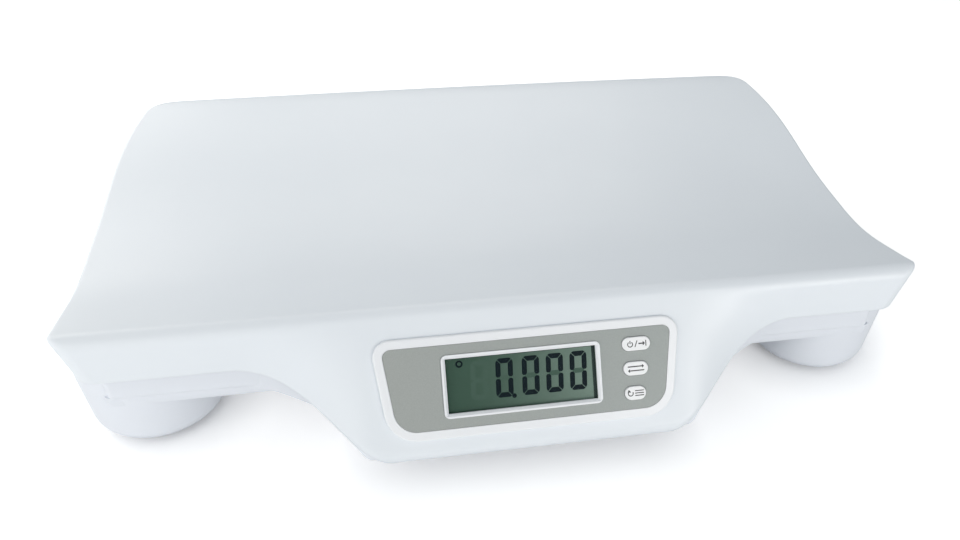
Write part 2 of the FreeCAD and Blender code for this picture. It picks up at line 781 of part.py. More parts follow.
def battery_cells():
    cells = []
    for i, y in enumerate(cell_rows()):
        way = 1 if i % 2 == 0 else -1
        start = Vec(-way * (0.5 * cell_length + 0.6), y, cell_centre_z)
        can = Part.makeCylinder(cell_radius, cell_length - 1.5, start, X_AXIS * way)
        tip = Part.makeCylinder(2.6, cell_length, start, X_AXIS * way)
        cells.append(can.fuse(tip))
    return Part.makeCompound(cells)


def contact_plates():
    """Flat contacts at both ends of the bay, standing on the bay walls."""
    plates = []
    for side in (-1, 1):
        for y in cell_rows():
            x = side * (bay_half_width - 0.25)
            z = cell_centre_z
            plates.append(box(x - 0.25, x + 0.25, y - 5.5, y + 5.5, z - 5.0, z + 5.0))
    return Part.makeCompound(plates)


def contact_springs():
    """Springs that press the flat end of each cell, drawn as tapered drums of wire."""
    springs = []
    for i, y in enumerate(cell_rows()):
        way = 1 if i % 2 == 0 else -1
        near = -way * (0.5 * cell_length + 0.6)
        far = -way * (bay_half_width - 0.5)
        length = abs(far - near)
        for k in range(3):
            radius = 4.2 - 0.7 * k
            at = far + way * (0.5 + k * (length - 1.0) / 2.0)
            springs.append(Part.makeTorus(radius, 0.5, Vec(at, y, cell_centre_z), X_AXIS))
        rod = Part.makeCylinder(0.5, length, Vec(far, y + 3.5, cell_centre_z), X_AXIS * way)
        springs[-3] = springs[-3].multiFuse([springs[-2], springs[-1], rod])
        del springs[-2:]
    return Part.makeCompound(springs)


# ---- feet ----
def ring_sites(x, y, radius, first):
    """Three places round a vertical axis."""
    places = []
    for k in range(3):
        a = math.radians(first + 120.0 * k)
        places.append((x + radius * math.cos(a), y + radius * math.sin(a)))
    return places


def pillar_sites(x, y):
    """Full-height pillars of a cup, screwed to the lower housing."""
    return ring_sites(x, y, cup_radius - cup_wall - 4.5, 90.0)


def stand_sites(x, y):
    """Short stands of a cup that carry the load-cell carrier."""
    return ring_sites(x, y, cup_radius - cup_wall - 7.0, 30.0)


pad_hole = pad_radius + 4.0
carrier_height = cup_bottom + 16.0
carrier_thickness = 3.0
cell_plate_half = 17.0
cell_plate_thickness = 1.6


def foot_cup(x, y):
    """Hollow cup, open at the top, with a round hole in its floor for the foot disc."""
    low = cup_radius - cup_taper
    cup = turned([(0.0, cup_bottom), (low, cup_bottom), (cup_radius, base_bottom), (0.0, base_bottom)], x, y)
    rim = [e for e in cup.Edges if e.BoundBox.ZMax < cup_bottom + 0.1 and e.Length > 3.0 * low]
    cup = cup.makeFillet(cup_round, rim)
    filled = cup
    floor = cup_bottom + cup_wall
    narrow = low - cup_wall
    wide = cup_radius - cup_wall
    room = turned([(0.0, floor), (narrow, floor), (wide, base_bottom + 1.0), (0.0, base_bottom + 1.0)], x, y)
    rim = [e for e in room.Edges if e.BoundBox.ZMax < floor + 0.1 and e.Length > 3.0 * narrow]
    room = room.makeFillet(cup_round - cup_wall, rim)
    cup = cup.cut(room).cut(post(x, y, 0.0, cup_bottom + 10.0, pad_hole))
    pillars = [post(px, py, cup_bottom + 1.0, base_bottom, 4.6) for px, py in pillar_sites(x, y)]
    stands = [post(px, py, cup_bottom + 1.0, carrier_height, 5.0) for px, py in stand_sites(x, y)]
    cup = cup.multiFuse([p.common(filled) for p in pillars + stands])
    for px, py in pillar_sites(x, y):
        cup = cup.cut(post(px, py, base_bottom - 12.0, base_bottom + 1.0, screw_radius))
    for px, py in stand_sites(x, y):
        cup = cup.cut(post(px, py, carrier_height - 9.0, carrier_height + 1.0, screw_radius))
    return cup.removeSplitter()


def cell_carrier(x, y):
    """Three-armed plate on the cup's stands, with a window over the sensing tongue."""
    top = carrier_height + carrier_thickness
    shapes = [post(x, y, carrier_height, top, cell_plate_half + 8.0)]
    for px, py in stand_sites(x, y):
        shapes.append(post(px, py, carrier_height, top, 4.5))
        arm = box(0.0, math.hypot(px - x, py - y), -4.5, 4.5, carrier_height, top)
        arm.rotate(Vec(0, 0, 0), Z_AXIS, math.degrees(math.atan2(py - y, px - x)))
        arm.translate(Vec(x, y, 0))
        shapes.append(arm)
    carrier = fuse_all(shapes)
    carrier = carrier.cut(box(x - 10.0, x + 10.0, y - 10.0, y + 10.0, carrier_height - 1.0, top + 1.0))
    for px, py in stand_sites(x, y):
        carrier = carrier.cut(post(px, py, carrier_height - 1.0, top + 1.0, screw_radius + 0.3))
    return carrier


def load_cell(x, y):
    """Half-bridge strain plate: an outer frame with a tongue cut free on three sides."""
    half = cell_plate_half
    z0 = carrier_height - cell_plate_thickness
    plate = box(x - half, x + half, y - half, y + half, z0, carrier_height)
    upright = [e for e in plate.Edges if abs(e.Vertexes[0].Z - e.Vertexes[-1].Z) > 1.0]
    plate = plate.makeFillet(3.0, upright)
    slot = box(x - 9.0, x + 9.0, y - 9.0, y + 11.0, z0 - 1.0, carrier_height + 1.0)
    tongue = box(x - 6.5, x + 6.5, y - 9.5, y + 8.0, z0, carrier_height)
    return plate.cut(slot).fuse(tongue).removeSplitter()


def foot_disc(x, y):
    """Stepped disc under the tongue; it carries the rubber pad."""
    disc = post(x, y, pad_thickness, pad_thickness + 6.0, pad_radius)
    stem = post(x, y, pad_thickness + 6.0, carrier_height - cell_plate_thickness, 5.0)
    web = post(x, y, pad_thickness + 6.0, pad_thickness + 8.0, 14.0)
    return fuse_all([disc, stem, web])


def rubber_pad(x, y):
    pad = post(x, y, 0.0, pad_thickness, pad_radius)
    for k in range(2):
        radius = 9.0 + 8.0 * k
        groove = post(x, y, -0.5, 0.6, radius + 1.0).cut(post(x, y, -0.5, 0.6, radius - 1.0))
        pad = pad.cut(groove)
    return pad


def carrier_screws():
    screws = []
    top = carrier_height + carrier_thickness
    for name, sx, sy in cup_sites:
        x, y = cup_place(sx, sy)
        for px, py in stand_sites(x, y):
            screws.append(pan_screw(px, py, top, carrier_height - 7.0, 3.0, 1.8, 0.9))
    return Part.makeCompound(screws)


def cup_screws():
    screws = []
    top = base_bottom + base_wall
    for name, sx, sy in cup_sites:
        x, y = cup_place(sx, sy)
        for px, py in pillar_sites(x, y):
            screws.append(pan_screw(px, py, top, base_bottom - 9.0, 3.0, 1.8, 0.9))
    return Part.makeCompound(screws)


def case_screws():
    screws = []
    for x, y in case_screw_sites:
        screws.append(pan_screw(x, y, boss_foot - 3.0, boss_foot + 9.0, 3.0, 1.8, 0.9))
    return Part.makeCompound(screws)


# ---- leads inside the housing ----
lead_height = base_bottom + 9.5
lead_radius = 1.3


def lead(points, radius):
    """Round lead through the given points, with ball joints at the bends."""
    pieces = []
    for a, b in zip(points[:-1], points[1:]):
        run = b - a
        pieces.append(Part.makeCylinder(radius, run.Length, a, run))
    for p in points[1:-1]:
        pieces.append(Part.makeSphere(radius, p))
    return pieces[0].multiFuse(pieces[1:]).removeSplitter()


def socket_points(index):
    """Plug end of a board socket and a point straight behind it."""
    u, v = socket_places[index]
    mouth = plaque_centre + X_AXIS * u + face_up * v + face_normal * (board_back - socket_depth)
    return mouth, mouth - face_normal * 6.0


def cell_leads():
    leads = []
    order = [(0, 0), (1, 2), (2, 1), (3, 3)]
    for site, socket in order:
        name, sx, sy = cup_sites[site]
        x, y = cup_place(sx, sy)
        mouth, behind = socket_points(socket)
        points = [Vec(x, y - 5.0, carrier_height), Vec(x, y - 5.0, carrier_height + 9.0)]
        points += [Vec(x, y, carrier_height + 16.0), Vec(x, y, lead_height)]
        points.append(Vec(behind.x, y, lead_height))
        points.append(Vec(behind.x, behind.y + 16.0, lead_height))
        points += [behind, mouth]
        leads.append(lead(points, lead_radius))
    return Part.makeCompound(leads)


def battery_lead():
    """Lead from the front wall of the cell bay to its socket."""
    mouth, behind = socket_points(4)
    points = [Vec(behind.x, bay_centre_y - bay_half_depth - bay_wall, lead_height)]
    points.append(Vec(behind.x, behind.y + 16.0, lead_height))
    points += [behind, mouth]
    return lead(points, 1.1)


def export(name, shape):
    """Write one node, with the whole part centred on its bounding box."""
    placed = shape.copy()
    placed.translate(Vec(0, y_shift, 0))
    placed.exportStep("parts/" + name + ".step")
    print(name, placed.isValid(), len(placed.Solids), round(placed.Volume, 1))


def main():
    os.makedirs("parts", exist_ok=True)
    export("tray_shell", tray_shell())
    export("base_shell", base_shell())
    for name, sx, sy in cup_sites:
        x, y = cup_place(sx, sy)
        export("foot_cup_" + name, foot_cup(x, y))
        export("cell_carrier_" + name, cell_carrier(x, y))
        export("load_cell_" + name, load_cell(x, y))
        export("foot_disc_" + name, foot_disc(x, y))
        export("rubber_pad_" + name, rubber_pad(x, y))
    export("display_surround", display_surround())
    export("faceplate", faceplate())
    export("lcd_lens", lcd_lens())
    export("lcd_glass", lcd_glass())
    export("lcd_frame", lcd_frame())
    export("contact_strip", contact_strips())
    export("reflector", reflector())
    for name, row in key_rows:
        export("key_" + name, key_cap(row))
    export("tact_switches", tact_switches())
    export("main_board", main_board())
    export("board_screws", board_screws())
    export("board_chips", board_chips())
    export("board_sockets", board_sockets())
    export("battery_door", battery_door())
    export("battery_cells", battery_cells())
    export("contact_plates", contact_plates())
    export("contact_springs", contact_springs())
    export("carrier_screws", carrier_screws())
    export("cup_screws", cup_screws())
    export("case_screws", case_screws())
    export("cell_leads", cell_leads())
    export("battery_lead", battery_lead())


main()
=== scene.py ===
import math

import bpy
import numpy as np
from mathutils import Matrix, Vector


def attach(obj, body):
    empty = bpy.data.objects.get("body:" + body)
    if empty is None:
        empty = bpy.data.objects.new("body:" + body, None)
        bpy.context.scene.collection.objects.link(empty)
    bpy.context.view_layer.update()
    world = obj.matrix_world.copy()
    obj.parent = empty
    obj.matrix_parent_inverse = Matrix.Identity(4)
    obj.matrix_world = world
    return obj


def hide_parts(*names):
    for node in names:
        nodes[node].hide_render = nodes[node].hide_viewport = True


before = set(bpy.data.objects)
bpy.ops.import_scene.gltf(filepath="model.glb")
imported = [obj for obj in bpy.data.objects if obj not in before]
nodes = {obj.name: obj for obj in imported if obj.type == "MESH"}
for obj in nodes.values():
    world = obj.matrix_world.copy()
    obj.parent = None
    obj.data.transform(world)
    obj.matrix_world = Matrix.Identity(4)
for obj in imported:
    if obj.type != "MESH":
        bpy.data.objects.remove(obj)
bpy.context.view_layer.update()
print("frame loaded:", len(nodes), "nodes")

rowShift = 18.0534  # mm, from midway between the two rims to the middle of the whole part
faceTop = np.array([0.0, -161.549, 105.918])  # top edge of the display face, on the rim roll
faceTilt = math.radians(56.0)
faceUp = np.array([0.0, math.cos(faceTilt), math.sin(faceTilt)])
faceNormal = np.array([0.0, -math.sin(faceTilt), math.cos(faceTilt)])
plaqueDrop = 46.5  # mm down the face to the middle of the display
consoleShift = 6.0  # mm that the display housing stands towards the keys' end
plaqueCentre = faceTop - faceUp * plaqueDrop + np.array([consoleShift, 0.0, 0.0])


# ---- helpers ----
def srgb(hexText, alpha=1.0):
    # hex colour to linear light, by the standard sRGB curve
    values = [int(hexText[i:i + 2], 16) / 255.0 for i in (1, 3, 5)]
    linear = [v / 12.92 if v <= 0.04045 else ((v + 0.055) / 1.055) ** 2.4 for v in values]
    return (*linear, alpha)


def smoothStep(t):
    t = np.clip(t, 0.0, 1.0)
    return t * t * (3.0 - 2.0 * t)


def toRow(points):
    # millimetres from midway between the rims, to metres in the part's own frame
    return (np.asarray(points, float) + np.array([0.0, rowShift, 0.0])) * 0.001


def onFace(points):
    # x across, y up the slope, z out of the display face, in millimetres
    p = np.asarray(points, float)
    across = np.array([1.0, 0.0, 0.0])
    return plaqueCentre + p[..., 0:1] * across + p[..., 1:2] * faceUp + p[..., 2:3] * faceNormal


def weld(points, faces):
    # points that fall together become one, and a face keeps each of its corners once
    keys = np.round(points, 4)
    unique, inverse = np.unique(keys, axis=0, return_inverse=True)
    inverse = np.asarray(inverse).reshape(-1)
    first = np.zeros(len(unique), int)
    first[inverse[::-1]] = np.arange(len(points))[::-1]
    mapped = inverse[faces]
    same = mapped == np.roll(mapped, 1, axis=1)
    short = same.any(axis=1)
    cut = [row[~doubled].tolist() for row, doubled in zip(mapped[short], same[short])]
    return points[first], mapped[~short].tolist() + [c for c in cut if len(set(c)) > 2]


def gridFaces(rows, columns, closed, start=0, flip=False):
    # quads between neighbouring rows and columns of a grid, the last column joined to the first if closed
    r = np.arange(rows - 1)[:, None]
    c = np.arange(columns if closed else columns - 1)[None, :]
    n = (c + 1) % columns
    corners = [(r + 1) * columns + c, (r + 1) * columns + n, r * columns + n, r * columns + c]
    quads = np.stack(corners, axis=-1).reshape(-1, 4) + start
    return quads[:, ::-1] if flip else quads


def makePiece(name, points, faces, material, body, sharp=30.0, smooth=True):
    # a mesh in the part's frame, riding on one body
    mesh = bpy.data.meshes.new(name)
    mesh.from_pydata(np.asarray(points).tolist(), [], faces if isinstance(faces, list) else faces.tolist())
    mesh.update()
    if smooth:
        mesh.polygons.foreach_set("use_smooth", np.ones(len(mesh.polygons), bool))
        mesh.set_sharp_from_angle(angle=math.radians(sharp))
    piece = bpy.data.objects.new(name, mesh)
    bpy.context.scene.collection.objects.link(piece)
    mesh.materials.append(material)
    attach(piece, body)
    return piece


def addNode(tree, kind, inputs=None, **settings):
    node = tree.nodes.new(kind)
    for name, value in settings.items():
        setattr(node, name, value)
    for name, value in (inputs or {}).items():
        if isinstance(value, bpy.types.NodeSocket):
            tree.links.new(value, node.inputs[name])
        else:
            node.inputs[name].default_value = value
    return node


def startMaterial(name):
    material = bpy.data.materials.new(name)
    material.use_nodes = True
    tree = material.node_tree
    tree.nodes.clear()
    output = addNode(tree, "ShaderNodeOutputMaterial")
    shader = addNode(tree, "ShaderNodeBsdfPrincipled")
    tree.links.new(shader.outputs["BSDF"], output.inputs["Surface"])
    place = addNode(tree, "ShaderNodeTexCoord").outputs["Object"]
    return material, tree, shader, place


# ---- materials ----
def noiseOf(tree, place, sizeMm, detail=2.0, roughness=0.5):
    # noise whose patches measure about sizeMm on the real object
    return addNode(tree, "ShaderNodeTexNoise", {"Vector": place, "Scale": 1000.0 / sizeMm, "Detail": detail,
                                                "Roughness": roughness}).outputs["Fac"]


def toneBetween(tree, share, colours):
    # colour that runs from the first hex value to the second as the share goes from 0 to 1
    tone = addNode(tree, "ShaderNodeMix", {"Factor": share}, data_type="RGBA")
    for socket, colour in zip((6, 7), colours):
        tone.inputs[socket].default_value = srgb(colour)
    return tone.outputs[2]


def raiseSurface(tree, shader, height, strength, depthMm):
    # raises the surface by at most depthMm where the height is 1
    depth = depthMm * 0.001
    bump = addNode(tree, "ShaderNodeBump", {"Height": height, "Strength": strength, "Distance": depth})
    tree.links.new(bump.outputs["Normal"], shader.inputs["Normal"])


def mouldedPlastic(name, colour, cloud, roughness, grainMm, grainDepthMm):
    # injection-moulded ABS or nylon: almost even colour, a satin skin from a spark-eroded mould,
    # very faint flow clouds and a fine grain that softens the highlights
    cloudMm, handledMm = 90.0, 25.0
    material, tree, shader, place = startMaterial(name)
    clouds = noiseOf(tree, place, cloudMm, 3.0)
    tree.links.new(toneBetween(tree, clouds, (colour, cloud)), shader.inputs["Base Color"])
    handled = noiseOf(tree, place, handledMm, 4.0, 0.6)
    rough = addNode(tree, "ShaderNodeMapRange", {"Value": handled, "From Min": 0.3, "From Max": 0.7,
                                                 "To Min": roughness - 0.03, "To Max": roughness + 0.04})
    tree.links.new(rough.outputs["Result"], shader.inputs["Roughness"])
    raiseSurface(tree, shader, noiseOf(tree, place, grainMm), 0.35, grainDepthMm)
    shader.inputs["IOR"].default_value = 1.53
    return material


def plainFinish(name, colour, second, patternMm, roughness, metallic=0.0, bumpMm=0.02,
                stretch=(1.0, 1.0, 1.0), specular=0.5):
    # one colour worked over with a second in a noise of a real size, stretched for brushed or drawn stock
    material, tree, shader, place = startMaterial(name)
    turned = addNode(tree, "ShaderNodeMapping", {"Vector": place, "Scale": stretch}).outputs["Vector"]
    noise = noiseOf(tree, turned, patternMm, 4.0, 0.55)
    tree.links.new(toneBetween(tree, noise, (colour, second)), shader.inputs["Base Color"])
    rough = addNode(tree, "ShaderNodeMapRange", {"Value": noise, "To Min": roughness - 0.05,
                                                 "To Max": roughness + 0.05})
    tree.links.new(rough.outputs["Result"], shader.inputs["Roughness"])
    raiseSurface(tree, shader, noise, 0.4, bumpMm)
    shader.inputs["Metallic"].default_value = metallic
    shader.inputs["Specular IOR Level"].default_value = specular
    return material


trayWhite = mouldedPlastic("mouldedAbsTray", "#E6ECF2", "#E3E9F0", 0.42, 0.9, 0.012)
baseWhite = mouldedPlastic("mouldedAbsBase", "#E4E9F1", "#E0E5ED", 0.45, 0.9, 0.012)
surroundWhite = mouldedPlastic("mouldedAbsSurround", "#EEF1F5", "#EBEEF3", 0.34, 0.7, 0.008)
keyWhite = mouldedPlastic("mouldedAbsKeys", "#F1F3F5", "#EDEFF2", 0.32, 0.6, 0.006)
carrierWhite = mouldedPlastic("mouldedAbsCarrier", "#D5D6D2", "#CFD0CC", 0.5, 1.0, 0.02)
discWhite = mouldedPlastic("mouldedAbsDisc", "#DADBDD", "#D5D6D8", 0.48, 1.0, 0.02)
blackPlastic = mouldedPlastic("mouldedNylonBlack", "#232426", "#1C1D1F", 0.5, 1.0, 0.02)
socketNylon = mouldedPlastic("mouldedNylonNatural", "#E2DCCB", "#DBD4C1", 0.45, 0.8, 0.01)
padRubber = plainFinish("rubberPad", "#2B2C2E", "#232426", 1.2, 0.75, bumpMm=0.05)
cellSteel = plainFinish("groundSteel", "#A8A9AB", "#9D9EA1", 0.8, 0.35, 1.0, 0.01, (1.0, 12.0, 1.0))
screwSteel = plainFinish("zincPlatedSteel", "#B4B6B8", "#A6A8AA", 0.6, 0.32, 1.0, 0.01)
contactNickel = plainFinish("nickelPlate", "#C4C2BC", "#B8B6B0", 0.7, 0.28, 1.0, 0.01, (1.0, 8.0, 1.0))
boardGreen = plainFinish("solderResist", "#1D5A36", "#174A2C", 2.5, 0.35, bumpMm=0.03)
cellSleeve = plainFinish("cellSleeve", "#3A3D42", "#2F3236", 6.0, 0.3)
leadBlack = plainFinish("pvcBlack", "#1B1C1D", "#151617", 1.5, 0.45)
leadRed = plainFinish("pvcRed", "#9A1F1B", "#861914", 1.5, 0.45)
foilWhite = plainFinish("reflectorFoil", "#C9CCC6", "#C0C3BD", 1.0, 0.4)
segmentInk = plainFinish("crystalDark", "#0E1D24", "#0B181E", 3.0, 0.4, specular=0.08)
idleInk = plainFinish("crystalIdle", "#4A6257", "#465D52", 3.0, 0.4, specular=0.08)
# painted shade: dark finish for strips laid where the display's recess wall lies in shade
recessShadeInk = plainFinish("paintedRecessShade", "#3A4745", "#333F3C", 1.5, 0.6, specular=0.1)
symbolInk = plainFinish("printedSymbols", "#33373A", "#2C3033", 1.0, 0.5)


def speckledAlong(tree, place, ends, colours, ease, speckle, spread):
    # colour that changes along x between two places in metres, multiplied by a fine speckle of light and dark
    across = addNode(tree, "ShaderNodeSeparateXYZ", {"Vector": place}).outputs["X"]
    along = addNode(tree, "ShaderNodeMapRange", {"Value": across, "From Min": ends[0], "From Max": ends[1]})
    eased = addNode(tree, "ShaderNodeMath", {0: along.outputs["Result"], 1: ease}, operation="POWER")
    fleck = addNode(tree, "ShaderNodeMapRange", {"Value": speckle, "From Min": 0.3, "From Max": 0.7,
                                                 "To Min": 1.0 - spread, "To Max": 1.0 + spread})
    mixed = addNode(tree, "ShaderNodeMix", {"Factor": 1.0}, data_type="RGBA", blend_type="MULTIPLY")
    tree.links.new(toneBetween(tree, eased.outputs[0], colours), mixed.inputs[6])
    tree.links.new(fleck.outputs["Result"], mixed.inputs[7])
    return mixed.outputs[2]


def greyFilm():
    # printed polyester film: an even mid grey with a very fine sparkle, flat and slightly glossy
    material, tree, shader, place = startMaterial("printedFilmGrey")
    speckle = noiseOf(tree, place, 0.6)
    colour = speckledAlong(tree, place, (-0.09, 0.10), ("#A0A5A3", "#9BA2A1"), 1.0, speckle, 0.06)
    tree.links.new(colour, shader.inputs["Base Color"])
    raiseSurface(tree, shader, speckle, 0.25, 0.01)
    shader.inputs["Roughness"].default_value = 0.42
    return material


def liquidCrystal():
    # display glass over its rear polariser: green grey, deeper towards the plain end
    material, tree, shader, place = startMaterial("displayGlass")
    speckle = noiseOf(tree, place, 0.8, 3.0)
    colour = speckledAlong(tree, place, (-0.046, 0.048), ("#3F584C", "#7A8F85"), 1.8, speckle, 0.03)
    tree.links.new(colour, shader.inputs["Base Color"])
    shader.inputs["Roughness"].default_value = 0.5
    shader.inputs["Specular IOR Level"].default_value = 0.08
    return material


def clearAcrylic():
    # thin clear window with a trace of smoke: nearly all light goes straight through, with a faint even gloss
    material, tree, shader, place = startMaterial("clearAcrylic")
    haze = noiseOf(tree, place, 12.0, 3.0)
    rough = addNode(tree, "ShaderNodeMapRange", {"Value": haze, "To Min": 0.04, "To Max": 0.09})
    tree.links.new(rough.outputs["Result"], shader.inputs["Roughness"])
    shader.inputs["Base Color"].default_value = srgb("#3A4542")
    shader.inputs["Alpha"].default_value = 0.03
    shader.inputs["IOR"].default_value = 1.49
    return material


filmGrey = greyFilm()
displayGlass = liquidCrystal()
clearWindow = clearAcrylic()
print("materials made:", len(bpy.data.materials))

nodeFinish = {
    "base_shell": baseWhite, "battery_door": baseWhite, "display_surround": surroundWhite,
    "faceplate": filmGrey, "lcd_lens": clearWindow, "lcd_glass": displayGlass, "lcd_frame": carrierWhite,
    "contact_strip": padRubber, "reflector": foilWhite, "tact_switches": blackPlastic,
    "main_board": boardGreen, "board_screws": screwSteel, "board_chips": blackPlastic,
    "board_sockets": socketNylon, "battery_cells": cellSleeve, "contact_plates": contactNickel,
    "contact_springs": contactNickel, "carrier_screws": screwSteel, "cup_screws": screwSteel,
    "case_screws": screwSteel, "cell_leads": leadBlack, "battery_lead": leadRed,
    "key_power": keyWhite, "key_units": keyWhite, "key_memory": keyWhite, "tray_shell": trayWhite,
}
cornerNames = ("front_left", "front_right", "rear_left", "rear_right")
for corner in cornerNames:
    nodeFinish["foot_cup_" + corner] = baseWhite
    nodeFinish["cell_carrier_" + corner] = carrierWhite
    nodeFinish["load_cell_" + corner] = cellSteel
    nodeFinish["foot_disc_" + corner] = discWhite
    nodeFinish["rubber_pad_" + corner] = padRubber
for name, finish in nodeFinish.items():
    if not nodes[name].material_slots:
        nodes[name].data.materials.append(finish)
    for held in nodes[name].material_slots:
        held.material = finish
print("cad nodes finished:", len(nodeFinish))


# ---- cradle tray ----
tray = dict(
    # plan, in mm from midway between the rims: corners, and the bow of the ends and of the back
    cornerHalfWidth=282.5, endBow=27.0, rimReach=163.0, cornerRadius=14.0,
    backReach=169.99, backBow=5.0, backCorner=30.0,
    # rim heights, radii of the rolls, zone inside the rim, and how far the ends lean and from where
    frontRim=109.5, backRim=109.6, roll=8.0, endRoll=3.8, backRoll=4.5, edgeZone=12.0,
    endSlant=9.0, leanFrom=190.0,
    # section of the cradle: slopes in degrees, lowest height, and points as shares of the reach and the rise
    frontSlope=23.0, valley=79.7, crestInset=9.0, ledgeSlope=11.0, ledgeSpare=5.0,
    frontPoints=((-0.755, 0.532), (-0.516, 0.163), (-0.32, 0.023), (-0.16, 0.0)),
    backPoints=((0.025, 0.036), (0.25, 0.206), (0.50, 0.525), (0.741, 0.812), (0.919, 0.965), (1.0, 1.0)),
    ledgePoints=((0.4, 0.18), (1.0, 0.7)),
    # lower edge of the apron, wall, and the rounds of that edge
    skirt=74.0, wall=3.0, apronRound=2.4, endRound=1.6,
    # display housing: half width of its face and of its whole swell, its lower edge and the S-curve beside it
    middle=consoleShift, faceHalf=104.0, blendHalf=187.0,
    chin=22.0, chinRound=8.25, chinHalf=86.0, chinFade=70.0, edgeSlope=0.12,
    edgePoints=((-0.14, 0.0), (0.0, 0.075), (0.19, 0.30), (0.46, 0.65), (0.70, 0.87), (1.0, 1.0)),
    # opening behind the display: half width, reach up and down the face, lean of its sides, where that ends
    holeHalf=89.5, holeReach=25.3, holeLean=0.126, leanLow=-42.0, leanHigh=40.0,
    # mesh: line that the cradle's rows start from, columns round the outline, rows from that line outwards
    spineHalf=200.0, spineEnd=232.0, frontHalf=268.9, frontColumns=(20, 34, 6, 60, 6, 34, 18),
    arcColumns=(15, 75, 21, 90), cradleRows=34, edgeRows=6, rollRows=15, faceRows=(6, 18, 6), lowerRows=10,
)


def outlineArcs(t):
    # the four arcs of the outline beyond its straight front: both corners, the bowed end and the bowed back,
    # as (centre x, centre y, radius, first angle, last angle); each corner touches its two neighbours
    reach, bow, r, rb = t["rimReach"], t["endBow"], t["cornerRadius"], t["backCorner"]
    endRadius = (reach ** 2 + bow ** 2) / (2.0 * bow)
    endX = t["cornerHalfWidth"] + bow - endRadius
    backHalf = endX + math.sqrt(endRadius ** 2 - t["backReach"] ** 2)
    backRadius = (backHalf ** 2 + t["backBow"] ** 2) / (2.0 * t["backBow"])
    backY = t["backReach"] + t["backBow"] - backRadius
    frontX = endX + math.sqrt((endRadius - r) ** 2 - (reach - r) ** 2)
    frontMeet = -math.atan2(reach - r, frontX - endX)
    apart = math.hypot(endX, backY)
    along = ((endRadius - rb) ** 2 - (backRadius - rb) ** 2 + apart ** 2) / (2.0 * apart)
    off = math.sqrt((endRadius - rb) ** 2 - along ** 2)
    way = np.array([-endX, backY]) / apart
    aside = off * np.array([-way[1], way[0]])
    sides = [np.array([endX, 0.0]) + way * along + turn * aside for turn in (-1.0, 1.0)]
    rear = max(sides, key=lambda place: place[0] + place[1])
    endMeet = math.atan2(rear[1], rear[0] - endX)
    backMeet = math.atan2(rear[1] - backY, rear[0])
    return [(frontX, r - reach, r, -0.5 * math.pi, frontMeet), (endX, 0.0, endRadius, frontMeet, endMeet),
            (rear[0], rear[1], rb, endMeet, backMeet), (0.0, backY, backRadius, backMeet, 0.5 * math.pi)]


def trayOutline(t, inset):
    # outline in plan, set in by a distance: straight front, round corners, bowed ends and back;
    # counter-clockwise from the left end of the front side, with the outward direction at each point
    x = t["columns"]
    arcs = outlineArcs(t)
    line = np.stack([x * arcs[0][0] / x.max(), np.full(len(x), -t["rimReach"] + inset)], axis=1)
    points, outs = [], []
    for (cx, cy, radius, first, last), count in zip(arcs, t["arcColumns"]):
        a = np.linspace(first, last, count)[1:]
        outs.append(np.stack([np.cos(a), np.sin(a)], axis=1))
        points.append(np.array([cx, cy]) + (radius - inset) * outs[-1])
    side, sideOut = np.concatenate(points), np.concatenate(outs)
    mirror = np.array([-1.0, 1.0])
    flat = np.concatenate([line, side, (side * mirror)[-2::-1]])
    outward = np.concatenate([np.tile([0.0, -1.0], (len(x), 1)), sideOut, (sideOut * mirror)[-2::-1]])
    return flat, outward


def endLean(t, z):
    # how far the end walls have leant in at height z
    return t["endSlant"] * (t["frontRim"] - z) / (t["frontRim"] - t["skirt"])


def cradleHeight(t, y):
    # height along the depth: front roll, smooth valley, then a crest and a gently falling ledge at the back
    rollY = t["rimReach"] - t["roll"]
    crestY = t["backReach"] - t["crestInset"]
    fs, ls = math.radians(t["frontSlope"]), math.radians(t["ledgeSlope"])
    frontRise, backRise = t["frontRim"] - t["valley"], t["backRim"] - t["valley"]
    ledge = t["backReach"] + t["backBow"] + t["ledgeSpare"] - crestY
    fall = ledge * math.tan(ls)
    front = (-rollY + t["roll"] * math.sin(fs), t["frontRim"] - t["roll"] * (1.0 - math.cos(fs)))
    knots = [front] + [(a * rollY, t["valley"] + b * frontRise) for a, b in t["frontPoints"]]
    knots += [(a * crestY, t["valley"] + b * backRise) for a, b in t["backPoints"]]
    knots += [(crestY + a * ledge, t["backRim"] - b * fall) for a, b in t["ledgePoints"]]
    knots = np.array(knots)
    slopes = clampedSlopes(knots[:, 0], knots[:, 1], -math.tan(fs), -math.tan(ls))
    z = hermite(knots[:, 0], knots[:, 1], slopes, y)
    rollHeight = np.sqrt(np.maximum(t["roll"] ** 2 - np.clip(y + rollY, 0.0, None) ** 2, 0.0))
    return np.where(y < front[0], t["frontRim"] - t["roll"] + rollHeight, z)


def clampedSlopes(x, y, first, last):
    # slopes of the cubic spline through the knots whose two end slopes are given
    n = len(x)
    h = np.diff(x)
    matrix = np.eye(n)
    right = np.zeros(n)
    right[0], right[-1] = first, last
    i = np.arange(1, n - 1)
    matrix[i, i - 1] = h[1:]
    matrix[i, i] = 2.0 * (h[:-1] + h[1:])
    matrix[i, i + 1] = h[:-1]
    right[1:-1] = 3.0 * (h[1:] * np.diff(y)[:-1] / h[:-1] + h[:-1] * np.diff(y)[1:] / h[1:])
    return np.linalg.solve(matrix, right)


def hermite(x, y, slopes, at):
    # cubic between knots, from the heights and slopes at both of its ends
    k = np.clip(np.searchsorted(x, at) - 1, 0, len(x) - 2)
    h = x[k + 1] - x[k]
    s = np.clip((at - x[k]) / h, 0.0, 1.0)
    a = y[k] * (1 + 2 * s) * (1 - s) ** 2 + slopes[k] * h * s * (1 - s) ** 2
    return a + y[k + 1] * s * s * (3 - 2 * s) - slopes[k + 1] * h * s * s * (1 - s)


